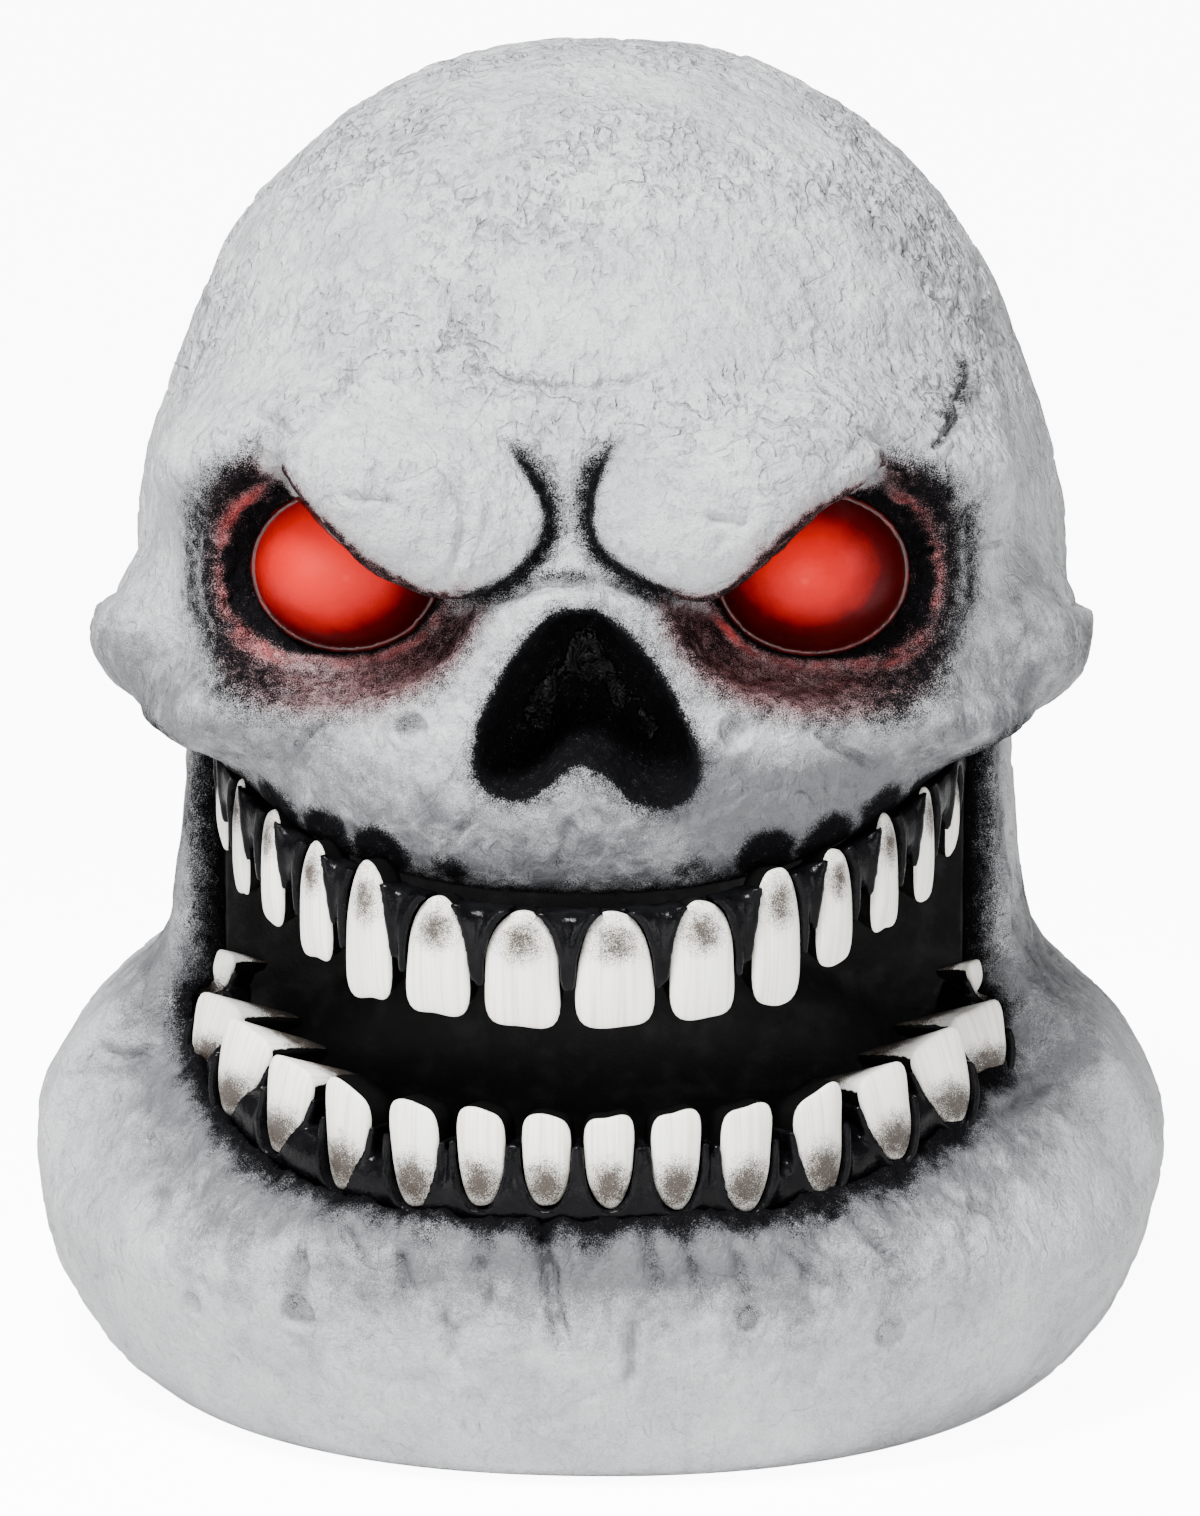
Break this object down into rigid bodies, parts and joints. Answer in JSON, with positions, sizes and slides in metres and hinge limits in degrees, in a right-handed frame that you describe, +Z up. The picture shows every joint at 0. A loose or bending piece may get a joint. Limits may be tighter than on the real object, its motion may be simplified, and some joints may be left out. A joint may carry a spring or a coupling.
{
  "type": "light-up skull decoration",
  "caption": "Hollow free-standing skull with a wide open jaw, separate teeth, red lens eyes lit from inside, and a battery door and slide switch on the back.",
  "frame": {"origin": "middle of the base plate underside, on the surface that the part stands on", "axes": "+Z up through the crown, -Y towards the face, +X towards the viewer's right when looking at the face"},
  "size_m": [0.4324, 0.4197, 0.4999],
  "materials": {
    "bone": "pale grey moulded shell with fine stipple and sprayed black soot",
    "gum": "black, wet gloss",
    "tooth": "ivory front, black sides, brown dust at the root",
    "eye": "translucent red, lit from behind",
    "circuit": "green circuit board",
    "wire": "black insulation",
    "cover": "black, fine texture",
    "steel": "plated screws",
    "cell": "plain sleeve"
  },
  "bodies": {
    "housing": {"face_shell": "bone", "back_shell": "bone", "jaw_shell": "bone", "mouth_tray": "gum", "nose_cup": "gum", "upper_gum": "gum", "lower_gum": "gum", "upper_tooth_1": "tooth", "upper_tooth_2": "tooth", "upper_tooth_3": "tooth", "upper_tooth_4": "tooth", "upper_tooth_5": "tooth", "upper_tooth_6": "tooth", "upper_tooth_7": "tooth", "upper_tooth_8": "tooth", "upper_tooth_9": "tooth", "upper_tooth_10": "tooth", "upper_tooth_11": "tooth", "upper_tooth_12": "tooth", "upper_tooth_13": "tooth", "upper_tooth_14": "tooth", "lower_tooth_1": "tooth", "lower_tooth_2": "tooth", "lower_tooth_3": "tooth", "lower_tooth_4": "tooth", "lower_tooth_5": "tooth", "lower_tooth_6": "tooth", "lower_tooth_7": "tooth", "lower_tooth_8": "tooth", "lower_tooth_9": "tooth", "lower_tooth_10": "tooth", "lower_tooth_11": "tooth", "lower_tooth_12": "tooth", "lower_tooth_13": "tooth", "lower_tooth_14": "tooth", "lower_tooth_15": "tooth", "lower_tooth_16": "tooth", "eye_lens_left": "eye", "light_board_left": "circuit", "light_lead_left": "wire", "eye_lens_right": "eye", "light_board_right": "circuit", "light_lead_right": "wire", "base_plate": "cover", "rear_panel": "cover", "battery_box": "cover", "switch_body": "cover", "base_screw_1": "steel", "base_screw_2": "steel", "base_screw_3": "steel", "base_screw_4": "steel", "battery_cell_1": "cell", "battery_cell_2": "cell", "battery_cell_3": "cell"},
    "battery_door": {"battery_door": "cover", "door_screw": "steel"},
    "switch_slider": {"switch_slider": "cover"}
  },
  "joints": [
    {"name": "battery_door_hinge", "type": "hinge", "parent": "housing", "child": "battery_door", "pos_m": [0, 0.1869, 0.11515], "axis": [1, 0, 0], "range_deg": [0, 95]},
    {"name": "switch_slide", "type": "slide", "parent": "housing", "child": "switch_slider", "axis": [1, 0, 0], "range_m": [0, 0.004]}
  ]
}
